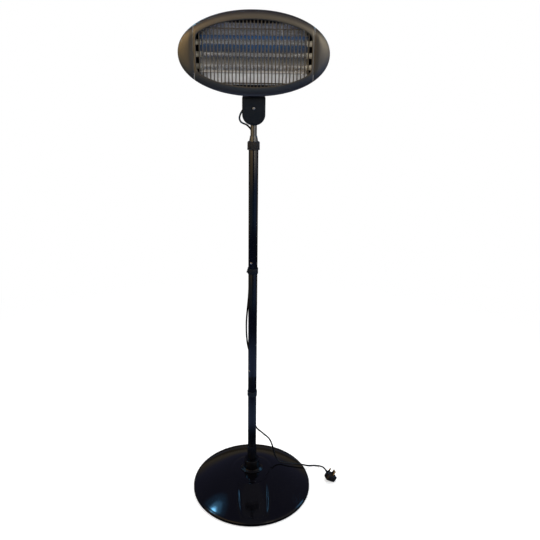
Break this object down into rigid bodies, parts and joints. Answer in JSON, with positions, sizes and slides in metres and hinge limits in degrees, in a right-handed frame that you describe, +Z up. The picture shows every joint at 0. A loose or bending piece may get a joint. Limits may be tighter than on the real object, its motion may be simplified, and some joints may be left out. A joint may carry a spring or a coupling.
{
  "type": "infrared patio heater tower",
  "caption": "Free-standing infrared patio heater: oval tilting head with quartz tubes behind a wire guard, on a telescopic pole with a round weighted base and a mains cord.",
  "frame": {"origin": "on the floor under the centre of the pole and base", "axes": "+Z up along the pole, -Y the way the heater faces, +X to the viewer's right when facing the heater"},
  "size_m": [0.6182, 0.495, 1.869],
  "materials": {
    "gloss_black_plastic": "gloss",
    "gloss_black_paint": "gloss",
    "black_plastic": "satin",
    "bronze_paint": "satin metallic",
    "dark_steel": "satin",
    "zinc_steel": "satin",
    "polished_aluminium": "polished",
    "quartz": "clear to milky",
    "ceramic": "matte",
    "black_rubber": "matte",
    "concrete": "rough",
    "brass": "polished"
  },
  "bodies": {
    "root": {"base_cover": "gloss_black_plastic", "base_plate": "dark_steel", "base_ballast": "concrete", "rubber_foot_ring": "black_rubber", "base_bolt": "zinc_steel", "hub_flange": "gloss_black_paint", "hub_collar": "gloss_black_plastic", "pole_sleeve": "dark_steel", "pole_lower": "gloss_black_paint", "pole_middle": "gloss_black_paint", "pole_upper": "gloss_black_paint", "pole_insert": "zinc_steel", "spigot_lower": "zinc_steel", "spigot_upper": "zinc_steel", "joint_screw_lower": "zinc_steel", "joint_screw_upper": "zinc_steel", "clip_collar_lower": "black_plastic", "clip_collar_upper": "black_plastic", "collet": "dark_steel", "cord_top": "black_rubber", "cord_middle": "black_rubber", "cord_floor": "black_rubber", "plug_body": "black_plastic", "plug_pin_earth": "brass", "plug_pin_live": "brass", "plug_pin_neutral": "brass"},
    "lock_nut": {"height_lock_nut": "black_plastic"},
    "neck": {"neck_tube": "dark_steel", "box_front": "black_plastic", "box_rear": "black_plastic", "box_screw": "zinc_steel", "cord_gland": "black_plastic", "cord_loop": "black_rubber", "terminal_block": "ceramic", "tip_over_switch": "black_plastic", "selector_switch": "ceramic", "pivot_bolt": "zinc_steel"},
    "selector": {"selector_knob": "black_plastic"},
    "head": {"fascia": "bronze_paint", "wing_left": "bronze_paint", "wing_right": "bronze_paint", "rear_housing": "dark_steel", "reflector": "polished_aluminium", "guard_grille": "bronze_paint", "tube_bracket_left": "dark_steel", "tube_bracket_right": "dark_steel", "tilt_bracket": "dark_steel", "quartz_tube_1": "quartz", "quartz_tube_2": "quartz", "quartz_tube_3": "quartz", "heating_coil_1": "zinc_steel", "heating_coil_2": "zinc_steel", "heating_coil_3": "zinc_steel", "ceramic_cap_left_1": "ceramic", "ceramic_cap_left_2": "ceramic", "ceramic_cap_left_3": "ceramic", "ceramic_cap_right_1": "ceramic", "ceramic_cap_right_2": "ceramic", "ceramic_cap_right_3": "ceramic"},
    "tilt_clamp": {"tilt_knob": "black_plastic"}
  },
  "joints": [
    {"name": "height_slide", "type": "slide", "parent": "root", "child": "neck", "axis": [0, 0, 1], "range_m": [0, 0.25]},
    {"name": "lock_nut_turn", "type": "hinge", "parent": "root", "child": "lock_nut", "pos_m": [0, 0, 1.445], "axis": [0, 0, 1], "range_deg": [0, 90]},
    {"name": "head_tilt", "type": "hinge", "parent": "neck", "child": "head", "pos_m": [0, 0.014, 1.62], "axis": [1, 0, 0], "range_deg": [-10, 30]},
    {"name": "tilt_knob_turn", "type": "hinge", "parent": "neck", "child": "tilt_clamp", "pos_m": [0.033, 0.014, 1.62], "axis": [1, 0, 0], "range_deg": [0, 180]},
    {"name": "selector_turn", "type": "hinge", "parent": "neck", "child": "selector", "pos_m": [0.014, 0.036, 1.562], "axis": [0, 1, 0], "range_deg": [0, 135]}
  ]
}
